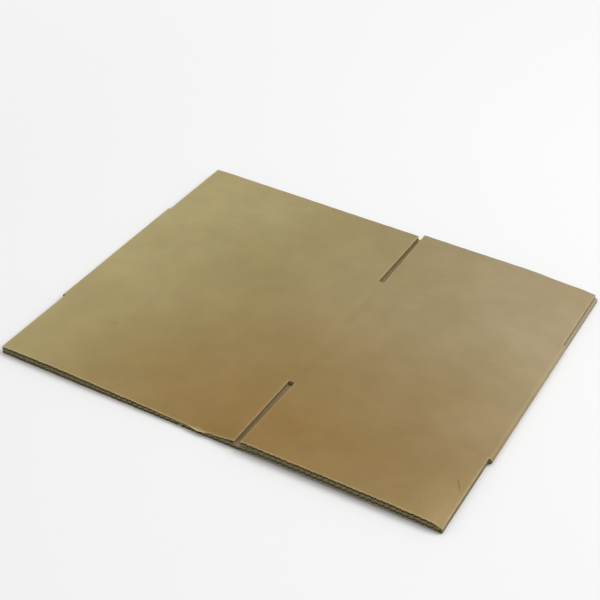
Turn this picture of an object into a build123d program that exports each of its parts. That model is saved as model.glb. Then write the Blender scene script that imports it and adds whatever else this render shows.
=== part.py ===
from build123d import *

import os
from math import atan2, sin

# A regular slotted shipping carton, glued into a sleeve and folded flat.
# It is one corrugated blank: four walls in a row, a glue tab on the end wall, and a flap at both
# ends of every wall. Folded flat it lies in two layers. The upper layer is a long wall with a short
# wall to its right, the lower layer is a short wall with a long wall to its right.
# X runs across the walls from fold to fold, Y runs along the flutes from flap end to flap end, and
# Z is up. The origin is at the centre of the underside. All sizes are in millimetres.

# Carton, outside sizes when squared up
long_wall = 395.0
short_wall = 305.0
wall_height = 290.0

# Corrugated board: two flat liners with a fluted medium glued between them
board_thickness = 5.0
liner_thickness = 0.3
medium_thickness = 0.25
flute_pitch = 8.75
flute_land = 1.4
flute_margin = 1.2

# Slots between the flaps, the pressed scores that the flaps bend along, and the wider ones that the
# walls bend along, which run on past the slots and leave the flaps thinner beside them
slot_width = 9.0
flap_score_width = 6.0
flap_score_depth = 0.6
wall_score_width = 15.0
wall_score_depth = 0.8

# Folded edges, where each layer is pressed thinner towards the fold
fold_crush = 0.8
fold_shoulder = 6.0
flap_relief = 0.6

# Glue joint in the lower layer, with its tab inside the sleeve
joint_gap = 5.0
tab_width = 36.0
tab_thickness = 1.5
tab_clearance = 0.3
tab_root = 8.0
tab_inset = 4.0
tab_taper = 10.0

# Cuts run past the faces that they open
overrun = 1.0

# The end flaps of a regular slotted carton meet over the middle of its short walls
flap_depth = short_wall / 2
flat_width = long_wall + short_wall
flat_length = wall_height + 2 * flap_depth
layer_gap = tab_thickness + tab_clearance
flat_thickness = 2 * board_thickness + layer_gap
fold_board = board_thickness - fold_crush
nose_radius = fold_board + layer_gap / 2
flap_setback = nose_radius + flap_relief

# Heights of the undersides of both layers, and of the middle of the gap between them
lower_base = 0.0
upper_base = board_thickness + layer_gap
middle = flat_thickness / 2

# Places across the flat box: its right fold, and the corner line between the walls of each layer
right_fold = flat_width / 2
upper_corner = long_wall - right_fold
lower_corner = short_wall - right_fold
score_line = wall_height / 2


def sleeve():
    """The blank as a flattened sleeve, two layers that turn into each other at round folds."""
    nose = right_fold - nose_radius
    flat = nose - fold_shoulder
    high = flat_thickness - fold_crush
    right_nose = ThreePointArc((nose, fold_crush), (right_fold, middle), (nose, high))
    left_nose = ThreePointArc((-nose, high), (-right_fold, middle), (-nose, fold_crush))
    top = Polyline((nose, high), (flat, flat_thickness), (-flat, flat_thickness), (-nose, high))
    underside = Polyline((-nose, fold_crush), (-flat, 0), (flat, 0), (nose, fold_crush))
    outline = make_face(Curve() + [right_nose, top, left_nose, underside])
    gap = Pos(0, middle) * SlotOverall(flat_width - 2 * fold_board, layer_gap)
    return extrude(Plane.XZ * (outline - gap), flat_length / 2, both=True)


def slots(end):
    """Slots that part the flaps at one end: one in each layer, and one at each fold."""
    length = flap_depth + overrun
    place = end * (score_line + length / 2)
    layer = middle + overrun
    upper = Pos(upper_corner, place, middle + layer / 2) * Box(slot_width, length, layer)
    # The edge of the long wall at the joint is the end of the blank, so its flaps aren't cut back
    width = (slot_width + joint_gap) / 2
    offset = (joint_gap - slot_width) / 4
    lower = Pos(lower_corner + offset, place, middle - layer / 2) * Box(width, length, layer)
    depth = flap_setback + overrun
    at_fold = Box(depth, length, flat_thickness + 2 * overrun)
    inset = right_fold + overrun - depth / 2
    return [upper, lower, Pos(inset, place, middle) * at_fold, Pos(-inset, place, middle) * at_fold]


def score(width, depth, length):
    """A shallow round groove along X, cut from above, with its floor one depth below Z 0."""
    radius = (width**2 / 4 + depth**2) / (2 * depth)
    return Pos(0, 0, radius - depth) * Rot(0, 90, 0) * Cylinder(radius, length)


def scores():
    """Scores along the foot of every flap, on both outer faces, and along the unfolded wall corner."""
    flap_score = score(flap_score_width, flap_score_depth, flat_width)
    made = []
    for end in (-1, 1):
        made.append(Pos(0, end * score_line, flat_thickness) * flap_score)
        made.append(Pos(0, end * score_line, 0) * Rot(180, 0, 0) * flap_score)
    wall_score = score(wall_score_width, wall_score_depth, flat_length + 2 * overrun)
    made.append(Pos(upper_corner, 0, flat_thickness) * Rot(0, 0, 90) * wall_score)
    return made


def joint_cut():
    """The open line between the two walls that the tab joins, through the lower layer only."""
    height = middle + overrun
    return Pos(lower_corner, 0, middle - height / 2) * Box(joint_gap, wall_height, height)


def glue_tab():
    """The tab, pressed flat, from the lower short wall across the open line onto the long wall."""
    start = lower_corner - joint_gap / 2 - tab_root
    bend = lower_corner + joint_gap / 2
    tip = bend + tab_width
    half = score_line - tab_inset
    tip_half = half - tab_taper
    corners = [(start, -half), (bend, -half), (tip, -tip_half), (tip, tip_half), (bend, half), (start, half)]
    return Pos(0, 0, board_thickness) * extrude(Polygon(*corners, align=None), tab_thickness)


def flute_channels(left, right, base, end):
    """The open channels in one flap, between its side edges, from the cut end towards the score."""
    run = flute_pitch / 2 - flute_land
    rise = board_thickness - 2 * liner_thickness - medium_thickness
    flank_half = medium_thickness / 2 / sin(atan2(rise, run))
    narrow = flute_land / 2 + run * medium_thickness / (2 * rise) - flank_half
    wide = narrow + run
    floor = base + liner_thickness
    ceiling = base + board_thickness - liner_thickness
    count = int((right - left - 2 * flute_margin) / flute_pitch)
    first = (left + right - (count - 1) * flute_pitch) / 2
    depth = flap_depth - flap_score_width / 2 - flute_margin
    cut_end = Plane.XZ.offset(-end * flat_length / 2)
    made = []
    for n in range(2 * count - 1):
        x = first + n * flute_pitch / 2
        # Channels lie above and below the one fluted sheet by turns
        if n % 2 == 0:
            broad, tapered = ceiling, floor + medium_thickness
        else:
            broad, tapered = floor, ceiling - medium_thickness
        corners = [(x - wide, broad), (x + wide, broad), (x + narrow, tapered), (x - narrow, tapered)]
        made.append(extrude(cut_end * Polygon(*corners, align=None), depth, dir=(0, -end, 0)))
    return made


def flutes(end):
    """Channels of the four flaps at one end, clear of the slots and of the pressed board beside them."""
    fold_side = right_fold - nose_radius - fold_shoulder
    pressed = wall_score_width / 2
    upper_left = flute_channels(-fold_side, upper_corner - pressed, upper_base, end)
    upper_right = flute_channels(upper_corner + pressed, fold_side, upper_base, end)
    lower_left = flute_channels(-fold_side, lower_corner - slot_width / 2, lower_base, end)
    lower_right = flute_channels(lower_corner + joint_gap / 2, fold_side, lower_base, end)
    return upper_left + upper_right + lower_left + lower_right


def flattened_box():
    cuts = scores() + [joint_cut()]
    for end in (-1, 1):
        cuts += slots(end) + flutes(end)
    return sleeve() - cuts + glue_tab()


os.makedirs("parts", exist_ok=True)
export_step(flattened_box(), "parts/flattened_box.step")
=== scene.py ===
import math
import random
from collections import namedtuple

import bmesh
import bpy
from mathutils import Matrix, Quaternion, Vector


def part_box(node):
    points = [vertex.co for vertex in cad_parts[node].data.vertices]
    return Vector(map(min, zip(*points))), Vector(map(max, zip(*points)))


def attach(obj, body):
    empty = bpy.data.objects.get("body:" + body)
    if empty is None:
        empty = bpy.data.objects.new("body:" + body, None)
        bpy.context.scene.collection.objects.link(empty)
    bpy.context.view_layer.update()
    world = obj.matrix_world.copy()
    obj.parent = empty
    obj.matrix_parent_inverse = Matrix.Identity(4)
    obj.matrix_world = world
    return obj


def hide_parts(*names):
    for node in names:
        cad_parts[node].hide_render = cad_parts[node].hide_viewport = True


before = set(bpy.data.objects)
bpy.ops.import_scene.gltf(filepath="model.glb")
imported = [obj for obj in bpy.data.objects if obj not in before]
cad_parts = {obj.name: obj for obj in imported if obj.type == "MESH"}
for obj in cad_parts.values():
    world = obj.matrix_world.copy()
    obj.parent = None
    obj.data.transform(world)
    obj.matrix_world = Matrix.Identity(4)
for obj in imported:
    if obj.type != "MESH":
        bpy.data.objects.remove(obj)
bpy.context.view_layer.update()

# The looks of a flattened shipping carton: one sheet of corrugated board, folded into two layers.
# X runs from fold to fold, Y along the flutes and Z up. Sizes are in millimetres until the mesh is
# made, and the outer ones come from the frame.
MM = 0.001
node_low, node_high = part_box("flattened_box")
flat_width = (node_high.x - node_low.x) / MM
flat_length = (node_high.y - node_low.y) / MM
flat_thickness = (node_high.z - node_low.z) / MM

# Carton
long_wall = 395.0
short_wall = flat_width - long_wall
flap_depth = short_wall / 2
half_width = flat_width / 2
half_length = flat_length / 2
score_line = half_length - flap_depth
upper_corner = long_wall - half_width
lower_corner = -upper_corner
slot_width = 9.0

# Board: two liners and a fluted medium
board_thickness = 5.0
liner_thickness = 0.42
medium_thickness = 0.62
core_thickness = board_thickness - 2 * liner_thickness
liner_share = liner_thickness / board_thickness
medium_share = medium_thickness / board_thickness

# Flutes: their distance, the glued land at each top and bottom, the margin at a flap's sides, and the
# places down a flank that have points of their own
flute_pitch = 8.75
flute_land = 1.0
flute_margin = 2.0
flank_shares = (0.25, 0.5, 0.75)

# Unevenness of a cut end: how far flutes lie off their places, how far the medium and its glue lines
# lie back, between which multiples of that, and the seed of these draws
flute_shift = 0.35
medium_recess = 0.15
glue_recess = 0.1
recess_spread = (0.5, 1.5)
draw_seed = 7

# Ragged cut ends: how far they lie back, and waves as height, radians per millimetre and phase
ragged_depth = 0.3
ragged_waves = ((0.14, 0.19, 0.0), (0.1, 0.53, 2.0))

# Layers
layer_gap = flat_thickness - 2 * board_thickness
upper_base = board_thickness + layer_gap
middle = flat_thickness / 2

# Folds, and where the flaps' sides lie beside them
fold_crush = 0.8
fold_shoulder = 26.0
fold_hollow = 2.5
fold_steps = 10
nose_radius = middle - fold_crush
nose_start = half_width - nose_radius
setback_clearance = 0.6
flap_setback = nose_radius + setback_clearance
fold_side = half_width - flap_setback

# Scores, and the steps across the scored corner of the upper layer
flap_score_width = 12.0
flap_score_depth = 0.22
wall_score_width = 15.0
wall_score_depth = 0.8
corner_steps = 4

# Glue joint of the lower layer, with the heights of the tab's two faces and its lines along the flutes
joint_gap = 5.0
tab_width = 36.0
tab_inset = 4.0
tab_taper = 10.0
tab_face = 5.05
tab_back = 6.5
tab_shares = (0.5, 1.0)

# How the tab's outer and inner face step up at the joint, as places across and heights
tab_face_rise = ((0, 0), (0.3, 0.5 * tab_face), (0.9, 0.95 * tab_face), (joint_gap, tab_face))
tab_back_rise = ((0, board_thickness), (1, 0.9 * tab_back), (2.5, tab_back), (joint_gap, tab_back))

# Places across of the sides of each layer's slots
upper_slot = (upper_corner - slot_width / 2, upper_corner + slot_width / 2)
lower_slot = (lower_corner - slot_width / 2, lower_corner + joint_gap / 2)

# Cut edges along the flutes, where the medium lies back between the liners
side_recess = 1.3
side_post = 1.6
side_lip = 0.3

# Rows across the flutes, as distances from the cut ends and from the flap scores. The channels of the
# flaps end at the scores.
flute_end = 4.2
end_steps = (0, 1.2, flute_end, 8, 12, 20, 30, 42, 56, 72, 88, 104, 120, 134)
score_steps = (10, 6, 4, 2, 0, -2, -tab_inset)
wall_row_count = 22
wall_row_margin = 12.0
channel_depth = flap_depth - flute_end
channel_steps = (flute_end, 12, 30, channel_depth)

# How far the ends of the flaps stand above their flat place, as places across and heights, by layer,
# end and side of the slot. The front flaps bend up right of the slot, and sag left of it.
flap_lifts = {
    ("upper", "front", "left"): (
        (-fold_side, 0.4), (-250, 1.2), (-200, 0.0), (-150, -1.5), (-100, -1.8), (8, -1.8), (40, 1.4),
    ),
    ("upper", "front", "right"): (
        (50, 4.8), (72, 4.8), (130, 4.4), (260, 3.6), (300, 2.7), (326, 2.0), (fold_side, -0.9),
    ),
    ("upper", "back", "left"): ((-fold_side, -0.4), (40, -0.9)),
    ("upper", "back", "right"): ((50, 4.6), (230, 4.6), (300, 1.7), (fold_side, 0.1)),
    ("lower", "front", "left"): ((-fold_side, 0), (-50, 0)),
    ("lower", "front", "right"): (
        (-42, 0.0), (40, 0.3), (66, 2.8), (85, 4.0), (130, 4.2), (260, 3.7), (300, 2.7), (326, 1.8),
        (fold_side, 0.2),
    ),
    ("lower", "back", "left"): ((-fold_side, 0), (-50, 0)),
    ("lower", "back", "right"): ((-42, 0), (40, 0), (85, 3.1), (230, 3.4), (300, 1.0), (fold_side, 0)),
}

# The lower back flap reaches further out at the right fold than the upper one: how far, from which
# place across it is drawn out, and over how much of its foot
side_reach = 4.4
side_reach_start = 290.0
side_reach_foot = 6.0

# Bulge of the upper walls, and a faint ripple that is shorter along the flutes than across them
wall_bulge = 0.6
ripple_height = 0.12
ripple_length = 190.0
ripple_phase = 1.0
ripple_squeeze = 1.3

# Places where the upper flaps are crushed: middle, reach to either side, and depth
Dent = namedtuple("Dent", "x y reach_x reach_y depth")
dents = (
    Dent(-34, -half_length, 90, 44, 2.4),
    Dent(-16, -half_length, 22, 17, 3.7),
    Dent(fold_side, -half_length, 17, 30, 2.4),
    Dent(-fold_side, -half_length, 16, 20, 0.9),
    Dent(fold_side, half_length, 16, 20, 1.0),
    Dent(-fold_side, half_length, 14, 18, 0.8),
)

# Rubbing of the outer liner: how far it reaches in from an edge, and how much further off the slots,
# the back and the left side count, because they are rubbed less
rub_reach = 1.6
rub_shelter = 1.2

# Rubbing at the folds: how strong, how far out on the rounding, and its reach to either side
fold_rub_share = 0.35
fold_rub_place = 1.0
fold_rub_reach = 2.0

# Rubbing where the board is crushed: how strong, and the depths at which it starts and is full
crush_rub_share = 0.65
crush_rub_start = 2.5
crush_rub_full = 3.7

# Torn outer liner at the deepest dent: place across, reach to either side, how far it hangs out, and
# how steeply it starts
tear_place = -16.0
tear_reach = 17.0
tear_length = 2.6
tear_slope = 1.4

# Colours of the outer liner as they look on screen, from 0 to 255. The shades run from the left fold to
# the right one, with light and shade painted in: darker in the middle as painted shade, and paler and
# cooler to the right as painted light.
kraft_colour_and_painted_light = (
    (0, (174, 161, 115)),
    (0.36, (155, 140, 96)),
    (0.7, (158, 142, 106)),
    (1, (170, 153, 120)),
)
# The colour of the painted warm shade at the front
front_shade_kraft = (144, 115, 64)
# The colour of the painted highlight at the front right corner
corner_highlight_kraft = (178, 152, 106)
cloud_tint = (236, 232, 218)
fleck_brown = (112, 90, 58)
rubbed_kraft = (204, 188, 148)
mark_brown = (96, 78, 46)

# Colours of the inner liner, of the painted shade in its slots and of cut paper, each in two tones where
# they vary
# The inner liner's tones are partly painted shade: darker and warmer than its own colour, for the slots
# where it shows
pale_tones = ((176, 163, 134), (186, 174, 146))
slot_shade_brown = (150, 121, 84)
cut_liner_tones = ((178, 162, 118), (212, 196, 150))
medium_tones = ((168, 154, 112), (204, 190, 146))
# Painted shade: the medium's paper, darkened where it lines the channels and the cut side edges
channel_shade_tones = ((100, 88, 54), (124, 110, 70))

# Painted warm shade at the front of the outer liner: places along where it starts and is full, how
# strong it is there, its shares at the left and right fold, and the place across from which the right
# share fades
front_shade_start = 130.0
front_shade_full = -220.0
front_shade_most = 0.95
front_shade_left_share = 0.15
front_shade_right_share = 0.7
front_shade_right_start = 100.0

# Ovals on the top face: middle, half length, half width and turn in degrees. They are full inside a
# share of their size, and fade outside it.
Oval = namedtuple("Oval", "x y length width turn", defaults=(0.0,))
oval_core_share = 0.3
# A painted highlight at the front right corner, and how strong it is
corner_highlight = Oval(fold_side, -half_length, 70, 130)
corner_highlight_share = 0.5
scratch_and_specks = (
    Oval(330.5, -215, 17, 1.4, -59),
    Oval(-241, -166, 2.6, 1.8, 20),
    Oval(-144, -157, 2.6, 1.4, -30),
)
mark_share = 0.6

# Painted shade on the inner liner where a slot of the other layer bares it: how far past the slot it
# starts and is full, its strength, and between which distances from the cut end it fades to a weaker
# strength
slot_shade_reach = 8.0
slot_shade_full = 1.0
slot_shade_share = 0.9
slot_shade_fade = (12.0, 4.0)
slot_shade_mouth_share = 0.55

# Paper: its gloss, how fibres, flecks and streaks draw out its noise, the range that noise mostly has,
# and how much the second of two noises counts
paper_gloss = 0.25
fibre_stretch = (0.4, 1, 1)
fleck_stretch = (0.35, 1, 1)
streak_stretch = (1, 0.4, 1)
noise_range = (0.3, 0.7)
second_noise_share = 0.4

# Edges sharper than this, in degrees, aren't smoothed
sharp_angle = 34.0

# Studio, in metres: the floor's brightness to the eye and for bounced light, the distances between
# which it turns evenly white, its half size and how far it lies under the board
floor_white = 0.93
floor_bounce = 0.5
floor_fade = (0.7, 1.9)
floor_reach = 12.0
floor_drop = 0.0003
sensor_width = 36.0

# Finishes, by face. The channel finish is the medium's paper darkened as painted shade in the channels
# and in the recessed middle of the side edges.
KRAFT, PALE, CUT, CORE, SHADED_CHANNEL = range(5)


def smooth(share):
    """An even rise from 0 to 1."""
    share = min(1.0, max(0.0, share))
    return share * share * (3 - 2 * share)


def mix(a, b, share):
    return a + (b - a) * share


def groove(distance, width, depth):
    """Depth of a round groove at a distance from its middle."""
    return depth * max(0.0, 1 - (2 * distance / width) ** 2)


def dented(x, y):
    """Depth of the crushed places of the upper layer."""
    deepest = 0.0
    for dent in dents:
        share = smooth(1 - abs(x - dent.x) / dent.reach_x) * smooth(1 - abs(y - dent.y) / dent.reach_y)
        deepest = max(deepest, dent.depth * share)
    return deepest


def pressed(x, y, upper):
    """How much thinner the board is pressed at a place."""
    depth = groove(abs(abs(y) - score_line), flap_score_width, flap_score_depth)
    depth = max(depth, fold_crush * smooth((abs(x) - nose_start + fold_shoulder) / fold_shoulder))
    if upper:
        depth = max(depth, groove(abs(x - upper_corner), wall_score_width, wall_score_depth))
        depth = max(depth, dented(x, y))
    return depth


def along(profile, x):
    """The height of a profile at a place across. It changes evenly between the profile's places."""
    for (start, low), (stop, high) in zip(profile, profile[1:]):
        if x <= stop:
            return mix(low, high, smooth((x - start) / (stop - start)))
    return profile[-1][1]


def rippled(x, y):
    """Height of the faint ripple of the upper layer."""
    turn = 2 * math.pi / ripple_length
    return ripple_height * math.sin(turn * x + ripple_phase) * math.cos(turn * y * ripple_squeeze)


def lifted(x, y, upper):
    """How far a layer stands above its flat place."""
    ripple = rippled(x, y) if upper else 0
    if abs(y) <= score_line:
        across = max(0.0, 1 - (x / nose_start) ** 2)
        bulge = wall_bulge * (1 - (y / score_line) ** 2) if upper else 0
        return across * (bulge + ripple * (1 - abs(y) / score_line))
    side = "right" if x > (upper_corner if upper else lower_corner) else "left"
    profile = flap_lifts["upper" if upper else "lower", "front" if y < 0 else "back", side]
    return (abs(y) - score_line) / flap_depth * (along(profile, x) + ripple)


def drawn_out(x, y, upper):
    """How far a point of the lower back flap lies out towards the right fold."""
    if upper:
        return 0
    across = smooth((x - side_reach_start) / (fold_side - side_reach_start))
    return side_reach * across * smooth((y - score_line) / side_reach_foot)


def settle(x, y, z):
    """Where a point of the flat blank lies, once the folds, the scores and wear have shaped it."""
    if abs(x) > nose_start:
        return x, y, z
    upper = z > middle
    seat = upper_base if upper else board_thickness
    outward = 1 if upper else -1
    # Only the medium is pressed thinner, so the outer liner moves as a whole and the inner one stays
    share = min(1.0, max(0.0, (outward * (z - seat) - liner_thickness) / core_thickness))
    height = z - outward * share * pressed(x, y, upper) + lifted(x, y, upper)
    return x + drawn_out(x, y, upper), y, height


def worn(x, y, upper):
    """How rubbed the outer liner is: most at cut edges, at folds and where it is crushed."""
    edge = half_length - abs(y) + (rub_shelter if y > 0 else 0)
    if abs(y) >= score_line:
        beside_slot = min(abs(x - side) for side in (upper_slot if upper else lower_slot))
        beside_fold = fold_side - min(abs(x), fold_side) + (rub_shelter if x < 0 else 0)
        edge = min(edge, beside_fold, beside_slot + rub_shelter)
    rubbed = math.exp(-edge / rub_reach)
    from_ridge = abs(x) - nose_start - fold_rub_place
    fold_rub = fold_rub_share * math.exp(-((from_ridge / fold_rub_reach) ** 2))
    dent = dented(x, y) if upper else 0
    crushed = smooth((dent - crush_rub_start) / (crush_rub_full - crush_rub_start))
    return max(rubbed, fold_rub, crush_rub_share * crushed)


def ragged(x):
    """How far a cut end lies back from its line."""
    waves = (height * math.sin(rate * x + phase) for height, rate, phase in ragged_waves)
    return sum(waves, ragged_depth)


def torn(x):
    """How far the torn outer liner hangs out over the front edge."""
    return tear_length * smooth(tear_slope * (1 - abs(x - tear_place) / tear_reach))


class Board:
    """Collects the points and faces of the sheet. Points are given on the flat blank."""

    def __init__(self):
        self.flat = []
        self.wear = []
        self.faces = []
        self.finishes = []

    def point(self, x, y, z, wear=0.0):
        self.flat.append((x, y, z))
        self.wear.append(wear)
        return len(self.flat) - 1

    def face(self, corners, finish):
        self.faces.append(corners)
        self.finishes.append(finish)

    def band(self, first, second, finish):
        """Faces between two rows of as many points."""
        for n in range(len(first) - 1):
            self.face([first[n], first[n + 1], second[n + 1], second[n]], finish)

    def hollow(self, loop, inward, depths, finish):
        """A hollow that runs from a closed loop of points into the board."""
        ring = loop
        for depth in depths:
            further = []
            for corner in loop:
                x, y, z = self.flat[corner]
                further.append(self.point(x, y + inward * depth, z))
            self.band(ring + ring[:1], further + further[:1], finish)
            ring = further
        self.face(ring, finish)


# A station is a line along the flutes. span shortens the lines of the tapered tab.
Station = namedtuple("Station", "x z span", defaults=(1.0,))
# A zone is a stretch of the blank between two stations, present up to its reach in Y
Zone = namedtuple("Zone", "kind outer inner reach")


def panel(start, stop, outer_z, inner_z):
    """A wall with its two flaps: lines at the flute tops outside, and at the flute bottoms inside."""
    way = 1 if stop > start else -1
    count = int((abs(stop - start) - 2 * flute_margin) / flute_pitch)
    first = (start + stop - way * count * flute_pitch) / 2
    tops = [first + way * flute_pitch * n for n in range(count + 1)]
    bottoms = [top + way * flute_pitch / 2 for top in tops[:-1]]
    outer = [Station(x, outer_z) for x in [start, *tops, stop]]
    inner = [Station(x, inner_z) for x in [start, *bottoms, stop]]
    return Zone("panel", outer, inner, half_length)


def nose(side, radius, low, high):
    """Stations round a fold, from the lower layer to the upper one."""
    stations = [Station(side * fold_side, low), Station(side * nose_start, low)]
    for n in range(1, fold_steps):
        turn = math.pi * (n / fold_steps - 0.5)
        x = side * (nose_start + radius * math.cos(turn))
        stations.append(Station(x, middle + radius * math.sin(turn)))
    return [*stations, Station(side * nose_start, high), Station(side * fold_side, high)]


def fold(side, rising):
    """A round fold that joins the two layers at one side."""
    outer = nose(side, nose_radius, 0, flat_thickness)
    inner = nose(side, layer_gap / 2, board_thickness, upper_base)
    if not rising:
        outer.reverse()
        inner.reverse()
    return Zone("fold", outer, inner, score_line)


def corner_link(start, stop):
    """The scored corner between the two walls of the upper layer."""
    places = [mix(start, stop, n / corner_steps) for n in range(corner_steps + 1)]
    outer = [Station(x, flat_thickness) for x in places]
    inner = [Station(x, upper_base) for x in places]
    return Zone("fold", outer, inner, score_line)


def tab(start):
    """The glue tab, which steps up from the lower short wall onto the inside of the long wall."""
    bend = start + joint_gap
    tab_half = score_line - tab_inset
    faces = [(start + step, z) for step, z in tab_face_rise]
    backs = [(start + step, z) for step, z in tab_back_rise]
    for share in tab_shares:
        x = mix(bend, bend + tab_width, share)
        faces.append((x, tab_face))
        backs.append((x, tab_back))
    spans = [1 - tab_taper / tab_half * max(0, x - bend) / tab_width for x, _ in faces]
    outer = [Station(x, z, span) for (x, z), span in zip(faces, spans)]
    inner = [Station(x, z, span) for (x, z), span in zip(backs, spans)]
    return Zone("plain", outer, inner, tab_half)


def blank():
    """The zones of the blank in order, from the free edge of the lower long wall to the tab."""
    end = lower_corner - joint_gap / 2
    flap_end, flap_start = lower_slot
    left, right = upper_slot
    edge_outer = [Station(flap_end, 0), Station(end, 0)]
    edge_inner = [Station(flap_end, board_thickness), Station(end, board_thickness)]
    return [
        panel(flap_start, fold_side, 0, board_thickness),
        fold(1, True),
        panel(fold_side, right, flat_thickness, upper_base),
        corner_link(right, left),
        panel(left, -fold_side, flat_thickness, upper_base),
        fold(-1, False),
        panel(-fold_side, flap_end, 0, board_thickness),
        Zone("plain", edge_outer, edge_inner, score_line),
        tab(end),
    ]


def row_places():
    """Places of the rows, close together at the ends, the scores and the tab."""
    half = [half_length - step for step in end_steps] + [score_line + step for step in score_steps]
    reach = score_line - wall_row_margin
    wall = [mix(-reach, reach, n / (wall_row_count - 1)) for n in range(wall_row_count)]
    return sorted([-y for y in half] + wall + half)


class FlapEnd:
    """The cut end of a flap: two liners, the fluted medium and the open channels."""

    def __init__(self, sheet, n, row, inward):
        zone = sheet.zones[n]
        self.board = sheet.board
        self.draws = sheet.draws
        self.end_line = sheet.rows[row]
        self.inward = inward
        self.inner_z, self.outer_z = zone.inner[0].z, zone.outer[0].z
        self.way = 1 if zone.outer[-1].x > zone.outer[0].x else -1
        self.outer, self.inner = sheet.line("outer", n, row), sheet.line("inner", n, row)
        self.left, self.right = sheet.chain(n, row), sheet.chain(n + 1, row)
        tops, bottoms = self.shifted(zone.outer), self.shifted(zone.inner)
        self.tops = [self.land(x, 1 - liner_share) for x in tops]
        self.bottoms = [self.land(x, liner_share + medium_share) for x in bottoms]
        self.falls = [self.flank(top, bottom) for top, bottom in zip(tops, bottoms)]
        self.rises = [self.flank(top, bottom) for top, bottom in zip(tops[1:], bottoms)]

    def shifted(self, stations):
        """Places of the flutes of one face, each a little off its station."""
        return [station.x + self.draws.gauss(0, flute_shift) for station in stations[1:-1]]

    def spot(self, x, share, recess):
        """A point of the end, at a share of the way from the inner to the outer face."""
        back = ragged(x) + recess * self.draws.uniform(*recess_spread)
        y = self.end_line + self.inward * back
        return self.board.point(x, y, mix(self.inner_z, self.outer_z, share))

    def pair(self, x, share):
        """Two points, half a land to either side."""
        half = self.way * flute_land / 2
        return [self.spot(x - half, share, glue_recess), self.spot(x + half, share, glue_recess)]

    def land(self, x, share):
        """The medium at a flute's top or bottom: its side to the outer liner, then the other one."""
        return self.pair(x, share), self.pair(x, share - medium_share)

    def flank(self, top, bottom):
        """The medium's two sides between a flute top and a flute bottom, from the top down."""
        swing = 0.5 - liner_share - medium_share / 2
        start = top + math.copysign(flute_land / 2, bottom - top)
        stop = bottom - math.copysign(flute_land / 2, bottom - top)
        above, below = [], []
        for share in flank_shares:
            slope = swing * board_thickness * math.pi * math.sin(math.pi * share) / abs(stop - start)
            aside = math.copysign(medium_thickness / 2 * slope / math.hypot(1, slope), stop - start)
            up = medium_share / 2 / math.hypot(1, slope)
            x, level = mix(start, stop, share), 0.5 + swing * math.cos(math.pi * share)
            above.append(self.spot(x + aside, level + up, medium_recess))
            below.append(self.spot(x - aside, level - up, medium_recess))
        return above, below

    def glue_lines(self):
        """The medium where it is glued to a liner, with the liner's edge beyond it."""
        for k, (over, under) in enumerate(self.tops):
            self.board.face([self.outer[k + 1], over[1], over[0]], CUT)
            self.board.band(over, under, CORE)
        for k, (over, under) in enumerate(self.bottoms):
            self.board.face([self.inner[k + 1], under[0], under[1]], CUT)
            self.board.band(over, under, CORE)

    def outer_channels(self):
        """The medium's flanks, and the channels between it and the outer liner."""
        for k, (over, under) in enumerate(self.bottoms):
            (before_over, before_under), (after_over, after_under) = self.tops[k], self.tops[k + 1]
            fall_above, fall_below = self.falls[k]
            rise_above, rise_below = [side[::-1] for side in self.rises[k]]
            fall = [before_over[1], *fall_above, over[0]]
            rise = [over[1], *rise_above, after_over[0]]
            self.board.band(fall, [before_under[1], *fall_below, under[0]], CORE)
            self.board.band(rise, [under[1], *rise_below, after_under[0]], CORE)
            self.board.face([self.outer[k + 1], self.outer[k + 2], after_over[0], before_over[1]], CUT)
            self.board.hollow(fall + rise, self.inward, channel_steps, SHADED_CHANNEL)

    def inner_channels(self):
        """The channels between the medium and the inner liner."""
        for k in range(len(self.bottoms) - 1):
            before, after = self.bottoms[k][1], self.bottoms[k + 1][1]
            self.board.face([self.inner[k + 1], before[1], after[0], self.inner[k + 2]], CUT)
            rise, fall = self.rises[k][1][::-1], self.falls[k + 1][1]
            channel = [before[1], *rise, *self.tops[k + 1][1], *fall, after[0]]
            self.board.hollow(channel, self.inward, channel_steps, SHADED_CHANNEL)

    def side_channel(self, chain, into, k, flank):
        """Half a channel at one side of the flap, behind a post of crushed board.

        k is 0 at the first side and -1 at the last one, and picks the nearer one of a pair too.
        """
        over, under = self.tops[k]
        foot = self.bottoms[k][1][k]
        x = self.board.flat[chain[0]][0] + into * side_post
        high = self.spot(x, 1 - liner_share, glue_recess)
        low = self.spot(x, liner_share, glue_recess)
        self.board.face([*chain, low, high], CORE)
        self.board.face([chain[0], high, over[k], self.outer[1:-1][k]], CUT)
        self.board.face([chain[-1], self.inner[1:-1][k], foot, low], CUT)
        channel = [high, over[k], under[k], under[-1 - k], *flank, foot, low]
        self.board.hollow(channel, self.inward, channel_steps, SHADED_CHANNEL)

    def close(self):
        """Makes all faces of the end."""
        self.glue_lines()
        self.outer_channels()
        self.inner_channels()
        self.side_channel(self.left, self.way, 0, self.falls[0][1])
        self.side_channel(self.right, -self.way, -1, self.rises[-1][1])


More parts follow.
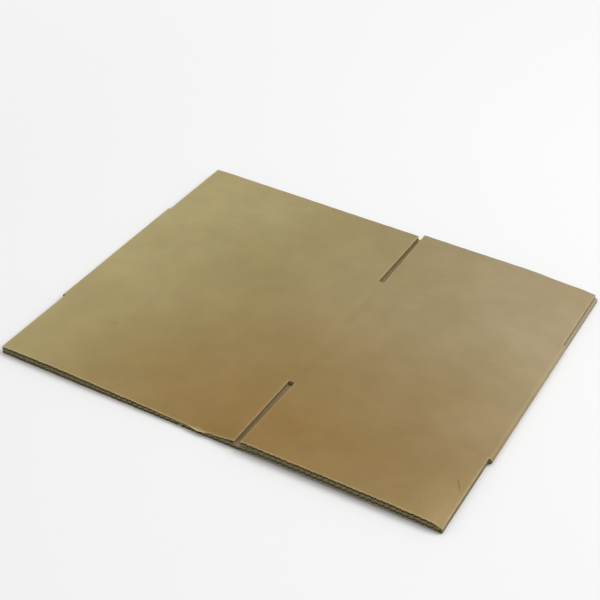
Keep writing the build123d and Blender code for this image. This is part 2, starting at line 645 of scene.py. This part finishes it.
class Sheet:
    """Builds the whole sheet from its zones and rows, as one closed skin."""

    def __init__(self):
        self.board = Board()
        self.zones = blank()
        self.rows = row_places()
        self.known = {}
        self.draws = random.Random(draw_seed)

    def present(self, n, row):
        """Whether zone n has board between a row and the next one."""
        if not (0 <= n < len(self.zones) and 0 <= row < len(self.rows) - 1):
            return False
        return abs(self.rows[row] + self.rows[row + 1]) / 2 < self.zones[n].reach

    def corner(self, face, n, k, row):
        """The point of a face where a zone's station meets a row."""
        stations = getattr(self.zones[n], face)
        if k == len(stations) - 1 and n + 1 < len(self.zones):
            return self.corner(face, n + 1, 0, row)
        key = (face, n, k, row)
        if key not in self.known:
            station = stations[k]
            upper = station.z > middle
            y = self.rows[row] * station.span
            if row in (0, len(self.rows) - 1):
                y -= math.copysign(ragged(station.x), y)
            if row == 0 and face == "outer" and upper:
                y -= torn(station.x)
            wear = worn(station.x, y, upper) if face == "outer" else 0
            self.known[key] = self.board.point(station.x, y, station.z, wear)
        return self.known[key]

    def line(self, face, n, row):
        """All points of a zone's face along a row."""
        return [self.corner(face, n, k, row) for k in range(len(getattr(self.zones[n], face)))]

    def faces(self):
        """The outer and the inner face of every zone."""
        for n in range(len(self.zones)):
            for row in range(len(self.rows) - 1):
                if self.present(n, row):
                    self.board.band(self.line("outer", n, row), self.line("outer", n, row + 1), KRAFT)
                    self.board.band(self.line("inner", n, row), self.line("inner", n, row + 1), PALE)

    def walled(self, edge, row):
        """Whether the board ends at the line between two zones, from a row to the next one."""
        return self.present(edge - 1, row) != self.present(edge, row)

    def side_ends(self, edge, row):
        """The points of the outer and the inner face at a cut side edge."""
        if edge < len(self.zones):
            return self.corner("outer", edge, 0, row), self.corner("inner", edge, 0, row)
        return self.line("outer", edge - 1, row)[-1], self.line("inner", edge - 1, row)[-1]

    def side_inward(self, edge, row, x):
        """How far the medium lies back from a cut side edge. Where the edge meets a wall, it doesn't."""
        ends_here = self.walled(edge, row - 1) != self.walled(edge, row)
        recess = 0 if ends_here and row not in (0, len(self.rows) - 1) else side_recess
        before = self.present(edge - 1, row) or self.present(edge - 1, row - 1)
        near = self.zones[edge - 1].outer[-2] if before else self.zones[edge].outer[1]
        return math.copysign(recess, near.x - x)

    def chain(self, edge, row):
        """Points down a cut side edge, from the outer liner's face to the inner one's."""
        top, bottom = self.side_ends(edge, row)
        key = ("chain", edge, row)
        if key not in self.known:
            x, y, high = self.board.flat[top]
            low = self.board.flat[bottom][2]
            inward = self.side_inward(edge, row, x)
            shares = [depth / abs(high - low) for depth in (liner_thickness, liner_thickness + side_lip)]
            shares += [1 - share for share in reversed(shares)]
            steps = zip(shares, (0, inward, inward, 0))
            made = [self.board.point(x + back, y, mix(high, low, share)) for share, back in steps]
            self.known[key] = [top, *made, bottom]
        return self.known[key]

    def side_edges(self):
        """Closes the cut edges that run along the flutes."""
        for edge in range(len(self.zones) + 1):
            for row in range(len(self.rows) - 1):
                if self.walled(edge, row):
                    first, second = self.chain(edge, row), self.chain(edge, row + 1)
                    # The recessed middle of a side edge takes the painted shade of the channels
                    for level, finish in enumerate((CUT, SHADED_CHANNEL, SHADED_CHANNEL, SHADED_CHANNEL, CUT)):
                        self.board.band(first[level : level + 2], second[level : level + 2], finish)

    def ends(self):
        """Closes every zone at the rows where it ends."""
        for n, zone in enumerate(self.zones):
            for row in range(len(self.rows)):
                if self.present(n, row - 1) != self.present(n, row):
                    inward = 1 if self.present(n, row) else -1
                    if zone.kind == "panel":
                        FlapEnd(self, n, row, inward).close()
                    elif zone.kind == "fold":
                        self.fold_end(n, row, inward)
                    else:
                        self.plain_end(n, row)

    def plain_end(self, n, row):
        """A short end with no hollow in it."""
        outer, inner = self.line("outer", n, row), self.line("inner", n, row)
        last = len(outer) - 2
        for k in range(last + 1):
            right = self.chain(n + 1, row) if k == last else [outer[k + 1], inner[k + 1]]
            left = self.chain(n, row) if k == 0 else [outer[k], inner[k]]
            self.board.face([*left, *reversed(right)], CUT)

    def fold_end(self, n, row, inward):
        """The cut end of a fold: two liners with the crushed, open medium between them."""
        board = self.board
        outer, inner = self.line("outer", n, row), self.line("inner", n, row)
        left, right = self.chain(n, row), self.chain(n + 1, row)
        under, over = [left[1]], [left[4]]
        for top, bottom in zip(outer[1:-1], inner[1:-1]):
            (x1, y, z1), (x2, _, z2) = board.flat[top], board.flat[bottom]
            share = liner_thickness / math.hypot(x2 - x1, z2 - z1)
            under.append(board.point(mix(x1, x2, share), y, mix(z1, z2, share)))
            over.append(board.point(mix(x2, x1, share), y, mix(z2, z1, share)))
        under.append(right[1])
        over.append(right[4])
        board.band(outer, under, CUT)
        board.band(over, inner, CUT)
        loop = [*under, *right[2:4], *reversed(over), *reversed(left[2:4])]
        board.hollow(loop, inward, (fold_hollow,), CORE)

    def mesh(self):
        """The finished mesh, with its finishes and its wear."""
        self.faces()
        self.side_edges()
        self.ends()
        made = bpy.data.meshes.new("carton_board")
        points = [[MM * length for length in settle(*place)] for place in self.board.flat]
        made.from_pydata(points, [], self.board.faces)
        made.polygons.foreach_set("material_index", self.board.finishes)
        wear = made.attributes.new("wear", "FLOAT", "POINT")
        wear.data.foreach_set("value", self.board.wear)
        skin = bmesh.new()
        skin.from_mesh(made)
        bmesh.ops.recalc_face_normals(skin, faces=skin.faces)
        skin.to_mesh(made)
        skin.free()
        made.shade_smooth()
        made.set_sharp_from_angle(angle=math.radians(sharp_angle))
        return made


def srgb(levels):
    """A colour as it looks on screen, from 0 to 255, in linear values."""
    shares = [level / 255 for level in levels]
    return (*[s / 12.92 if s < 0.04045 else ((s + 0.055) / 1.055) ** 2.4 for s in shares], 1)


def add(tree, kind, inputs=None, **settings):
    """A node with its settings and inputs. An input is a value or another node's output."""
    node = tree.nodes.new(kind)
    for name, value in settings.items():
        setattr(node, name, value)
    for socket, value in (inputs or {}).items():
        if isinstance(value, bpy.types.NodeSocket):
            tree.links.new(value, node.inputs[socket])
        else:
            node.inputs[socket].default_value = value
    return node


def calculate(tree, operation, first, second=0.0):
    return add(tree, "ShaderNodeMath", {0: first, 1: second}, operation=operation).outputs[0]


def product(tree, first, *others):
    for other in others:
        first = calculate(tree, "MULTIPLY", first, other)
    return first


def weighted(tree, first, second, share):
    """The sum of two values, by a share of the second one."""
    return calculate(tree, "ADD", product(tree, first, 1 - share), product(tree, second, share))


def stretch(tree, value, start, stop, low=0.0, high=1.0):
    """A value's range from start to stop, mapped to low and high."""
    inputs = {"Value": value, "From Min": start, "From Max": stop, "To Min": low, "To Max": high}
    return add(tree, "ShaderNodeMapRange", inputs).outputs[0]


def blend(tree, share, first, second, kind="MIX"):
    inputs = {0: share, 6: first, 7: second}
    return add(tree, "ShaderNodeMix", inputs, data_type="RGBA", blend_type=kind).outputs[2]


def ramp(tree, share, shades):
    """A colour that changes evenly along a row of shades, each with its place from 0 to 1."""
    node = add(tree, "ShaderNodeValToRGB", {"Fac": share})
    stops = node.color_ramp.elements
    while len(stops) < len(shades):
        stops.new(0.5)
    for stop, (place, shade) in zip(stops, shades):
        stop.position = place
        stop.color = srgb(shade)
    return node.outputs["Color"]


def axes_of(tree, place):
    return add(tree, "ShaderNodeSeparateXYZ", {0: place}).outputs


def clouds(tree, place, scale, detail, stretched=(1, 1, 1)):
    """Noise in lumps of about one over scale metres, drawn out along an axis by a small share."""
    mapped = add(tree, "ShaderNodeMapping", {"Vector": place, "Scale": stretched}).outputs[0]
    inputs = {"Vector": mapped, "Scale": scale, "Detail": detail}
    return add(tree, "ShaderNodeTexNoise", inputs).outputs[0]


def shaded(tree, tint, noise, low, high):
    """A tint that noise makes darker and lighter, by factors from low to high."""
    return blend(tree, 1.0, tint, stretch(tree, noise, *noise_range, low, high), "MULTIPLY")


def mark(tree, place, oval):
    """1 inside an oval on the top face and 0 outside it."""
    inputs = {
        "Vector": place,
        "Location": (oval.x * MM, oval.y * MM, flat_thickness * MM),
        "Rotation": (0, 0, math.radians(oval.turn)),
        "Scale": (oval.length * MM, oval.width * MM, middle * MM),
    }
    mapped = add(tree, "ShaderNodeMapping", inputs, vector_type="TEXTURE").outputs[0]
    distance = add(tree, "ShaderNodeVectorMath", {0: mapped}, operation="LENGTH").outputs["Value"]
    return stretch(tree, distance, start=1, stop=oval_core_share)


def paper(name, roughness):
    """A matt paper material, its node tree and shader, and object coordinates."""
    material = bpy.data.materials.new(name)
    material.use_nodes = True
    tree = material.node_tree
    shader = tree.nodes["Principled BSDF"]
    shader.inputs["Roughness"].default_value = roughness
    shader.inputs["Specular IOR Level"].default_value = paper_gloss
    return material, tree, shader, add(tree, "ShaderNodeTexCoord").outputs["Object"]


def roughen(tree, shader, height, depth):
    """Bump, with its depth in millimetres."""
    bump = add(tree, "ShaderNodeBump", {"Height": height, "Distance": depth * MM})
    tree.links.new(bump.outputs[0], shader.inputs["Normal"])


def fibres(tree, place):
    """Fine fibres that lie across the flutes, as the paper ran through its machine."""
    long = clouds(tree, place, scale=260, detail=3, stretched=fibre_stretch)
    short = clouds(tree, place, scale=900, detail=2, stretched=fibre_stretch)
    return weighted(tree, long, short, second_noise_share)


def washboard(tree, place):
    """A faint wave over the flutes."""
    turns = product(tree, axes_of(tree, place)[0], 2 * math.pi / (flute_pitch * MM))
    return calculate(tree, "COSINE", turns)


def front_painted_shade(tree, axes):
    """How much painted warm shade the outer liner has: most at the front, and less beside the folds."""
    front = stretch(tree, axes[1], front_shade_start * MM, front_shade_full * MM, high=front_shade_most)
    from_left = stretch(tree, axes[0], -half_width * MM, 0, low=front_shade_left_share)
    from_right = stretch(tree, axes[0], half_width * MM, front_shade_right_start * MM, low=front_shade_right_share)
    return product(tree, front, from_left, from_right)


def kraft_tint_with_painted_light(tree, place):
    """The broad colours of the outer liner: cloudy, with painted shade in the middle and warm to the
    front, and painted light to the right and at the front right corner.
    """
    axes = axes_of(tree, place)
    # Painted shade in the middle and painted light to the right
    tint = ramp(tree, stretch(tree, axes[0], -half_width * MM, half_width * MM), kraft_colour_and_painted_light)
    # Painted warm shade towards the front
    tint = blend(tree, front_painted_shade(tree, axes), tint, srgb(front_shade_kraft))
    # Painted highlight at the front right corner
    corner = product(tree, mark(tree, place, corner_highlight), corner_highlight_share)
    tint = blend(tree, corner, tint, srgb(corner_highlight_kraft))
    cloudy = stretch(tree, clouds(tree, place, scale=6, detail=3), start=0.35, stop=0.68, high=0.6)
    return blend(tree, cloudy, tint, srgb(cloud_tint), "MULTIPLY")


def rubbing(tree, place):
    """How much of the rubbed paper shows, in patches."""
    wear = add(tree, "ShaderNodeAttribute", attribute_name="wear").outputs["Fac"]
    patchy = stretch(tree, clouds(tree, place, scale=120, detail=3), start=0.3, stop=0.65, low=0.5)
    return stretch(tree, product(tree, wear, patchy), start=0.05, stop=1, high=0.6)


def kraft_liner():
    """The outer liner: tan kraft paper with fibres, flecks, rubbed edges and a few marks."""
    material, tree, shader, place = paper("kraft_liner", roughness=0.72)
    tint = kraft_tint_with_painted_light(tree, place)
    tint = shaded(tree, tint, clouds(tree, place, scale=30, detail=4), low=0.955, high=1.045)
    grain = fibres(tree, place)
    tint = shaded(tree, tint, grain, low=0.978, high=1.022)
    flecks = clouds(tree, place, scale=1500, detail=1, stretched=fleck_stretch)
    tint = blend(tree, stretch(tree, flecks, start=0.72, stop=0.8, high=0.5), tint, srgb(fleck_brown))
    tint = blend(tree, rubbing(tree, place), tint, srgb(rubbed_kraft))
    for oval in scratch_and_specks:
        share = product(tree, mark(tree, place, oval), mark_share)
        tint = blend(tree, share, tint, srgb(mark_brown))
    tree.links.new(tint, shader.inputs["Base Color"])
    wave = product(tree, washboard(tree, place), 0.25)
    roughen(tree, shader, calculate(tree, "ADD", grain, wave), depth=0.05)
    return material


def slot_painted_shade(tree, place):
    """How much painted shade darkens the inner liner where the other layer's slot bares it."""
    axes = axes_of(tree, place)
    from_middle = calculate(tree, "ABSOLUTE", axes[0])
    beside = calculate(tree, "ABSOLUTE", calculate(tree, "SUBTRACT", from_middle, upper_corner * MM))
    slot_side = slot_width / 2
    across = stretch(tree, beside, (slot_side + slot_shade_reach) * MM, (slot_side + slot_shade_full) * MM)
    from_centre = calculate(tree, "ABSOLUTE", axes[1])
    inside = stretch(tree, from_centre, (score_line - slot_shade_reach) * MM, score_line * MM)
    fade_start, fade_stop = [(half_length - distance) * MM for distance in slot_shade_fade]
    strength = stretch(tree, from_centre, fade_start, fade_stop, slot_shade_share, slot_shade_mouth_share)
    return product(tree, across, inside, strength)


def pale_liner():
    """The inner liner: pale grey paper with the flutes showing through as fine lines."""
    material, tree, shader, place = paper("pale_liner", roughness=0.8)
    dark, light = [srgb(tone) for tone in pale_tones]
    tint = blend(tree, clouds(tree, place, scale=14, detail=3), dark, light)
    lines = stretch(tree, washboard(tree, place), start=-1, stop=1, low=0.94, high=1.02)
    tint = blend(tree, 1.0, tint, lines, "MULTIPLY")
    # Painted shade where the other layer's slot bares the inner liner
    tint = blend(tree, slot_painted_shade(tree, place), tint, srgb(slot_shade_brown))
    grain = fibres(tree, place)
    tint = shaded(tree, tint, grain, low=0.95, high=1.04)
    tree.links.new(tint, shader.inputs["Base Color"])
    roughen(tree, shader, calculate(tree, "ADD", grain, washboard(tree, place)), depth=0.05)
    return material


def cut_paper(name, tones):
    """Torn paper at a cut edge, in two tones."""
    material, tree, shader, place = paper(name, roughness=0.9)
    lumps = clouds(tree, place, scale=700, detail=4)
    streaks = clouds(tree, place, scale=160, detail=2, stretched=streak_stretch)
    tone = weighted(tree, lumps, streaks, second_noise_share)
    dark, light = [srgb(levels) for levels in tones]
    tint = blend(tree, stretch(tree, tone, start=0.35, stop=0.65), dark, light)
    tree.links.new(tint, shader.inputs["Base Color"])
    roughen(tree, shader, lumps, depth=0.2)
    return material


def add_board():
    """The carton, which stands for the CAD solid. Its materials are in the order of the finishes."""
    mesh = Sheet().mesh()
    mesh.materials.append(kraft_liner())
    mesh.materials.append(pale_liner())
    mesh.materials.append(cut_paper("cut_liner", cut_liner_tones))
    mesh.materials.append(cut_paper("fluted_medium", medium_tones))
    # The medium's paper darkened as painted shade, for the channels and the side edges' recesses
    mesh.materials.append(cut_paper("channel_painted_shade", channel_shade_tones))
    piece = bpy.data.objects.new("carton_board", mesh)
    bpy.context.scene.collection.objects.link(piece)
    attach(piece, "root")
    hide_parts("flattened_box")


def seen_directly(tree):
    """1 for what the eye sees, also in a reflection or through glass, and 0 for light that bounces."""
    path = add(tree, "ShaderNodeLightPath").outputs
    seen = calculate(tree, "MAXIMUM", path["Is Camera Ray"], path["Is Glossy Ray"])
    return calculate(tree, "MAXIMUM", seen, path["Is Transmission Ray"])


def grey(level):
    return level, level, level, 1


def floor_material():
    """Pale and matt, and darker for bounced light than for the eye.

    Far from the board it is evenly white to the eye, like a studio sweep.
    """
    material = bpy.data.materials.new("floor")
    material.use_nodes = True
    tree = material.node_tree
    tree.nodes.clear()
    bounced = add(tree, "ShaderNodeBsdfDiffuse", {"Color": grey(floor_bounce)}).outputs[0]
    near = add(tree, "ShaderNodeBsdfDiffuse", {"Color": grey(floor_white)}).outputs[0]
    far = add(tree, "ShaderNodeEmission", {"Color": grey(floor_white), "Strength": 1.0}).outputs[0]
    place = add(tree, "ShaderNodeTexCoord").outputs["Object"]
    distance = add(tree, "ShaderNodeVectorMath", {0: place}, operation="LENGTH").outputs["Value"]
    share = stretch(tree, distance, *floor_fade)
    shown = add(tree, "ShaderNodeMixShader", {0: share, 1: near, 2: far}).outputs[0]
    surface = add(tree, "ShaderNodeMixShader", {0: seen_directly(tree), 1: bounced, 2: shown}).outputs[0]
    add(tree, "ShaderNodeOutputMaterial", {0: surface})
    return material


def add_floor():
    """A plain square floor just under the board."""
    signs = ((-1, -1), (1, -1), (1, 1), (-1, 1))
    corners = [(floor_reach * x, floor_reach * y, -floor_drop) for x, y in signs]
    mesh = bpy.data.meshes.new("floor")
    mesh.from_pydata(corners, [], [(0, 1, 2, 3)])
    mesh.materials.append(floor_material())
    floor = bpy.data.objects.new("floor", mesh)
    bpy.context.scene.collection.objects.link(floor)


def add_world(ambient):
    """Even light from all round, and white to the eye."""
    world = bpy.data.worlds.new("studio")
    world.use_nodes = True
    bpy.context.scene.world = world
    tree = world.node_tree
    tree.nodes.clear()
    light = add(tree, "ShaderNodeBackground", {"Color": grey(1), "Strength": ambient}).outputs[0]
    white = add(tree, "ShaderNodeBackground", {"Color": grey(1), "Strength": 1.0}).outputs[0]
    surface = add(tree, "ShaderNodeMixShader", {0: seen_directly(tree), 1: light, 2: white}).outputs[0]
    add(tree, "ShaderNodeOutputWorld", {0: surface})


def add_light(name, place, size, power):
    """A square soft box, turned to the object."""
    data = bpy.data.lights.new(name, "AREA")
    data.size = size
    data.energy = power
    light = bpy.data.objects.new(name, data)
    light.location = place
    light.rotation_euler = (-Vector(place)).to_track_quat("-Z", "Y").to_euler()
    bpy.context.scene.collection.objects.link(light)


def add_camera(place, azimuth, elevation, roll, lens):
    """The camera at the photograph's place and angle. Azimuth 0 looks along +Y."""
    turn, rise = math.radians(azimuth), math.radians(elevation)
    back = Vector((math.sin(turn) * math.cos(rise), -math.cos(turn) * math.cos(rise), math.sin(rise)))
    level_view = (-back).to_track_quat("-Z", "Y")
    data = bpy.data.cameras.new("camera")
    data.sensor_width = sensor_width
    data.lens = lens
    camera = bpy.data.objects.new("camera", data)
    camera.location = place
    camera.rotation_mode = "QUATERNION"
    camera.rotation_quaternion = level_view @ Quaternion((0, 0, 1), math.radians(roll))
    bpy.context.scene.collection.objects.link(camera)
    bpy.context.scene.camera = camera


add_board()
add_floor()
add_world(ambient=0.5)
add_light("key", place=(3.6, 2.4, 5.0), size=3.6, power=216)
add_light("overhead", place=(-0.8, 0.4, 5.6), size=5.2, power=62)
add_camera(place=(0.7226, -1.5115, 1.2525), azimuth=26.24, elevation=35.77, roll=3.83, lens=83.73)
bpy.context.scene.view_settings.view_transform = "Standard"
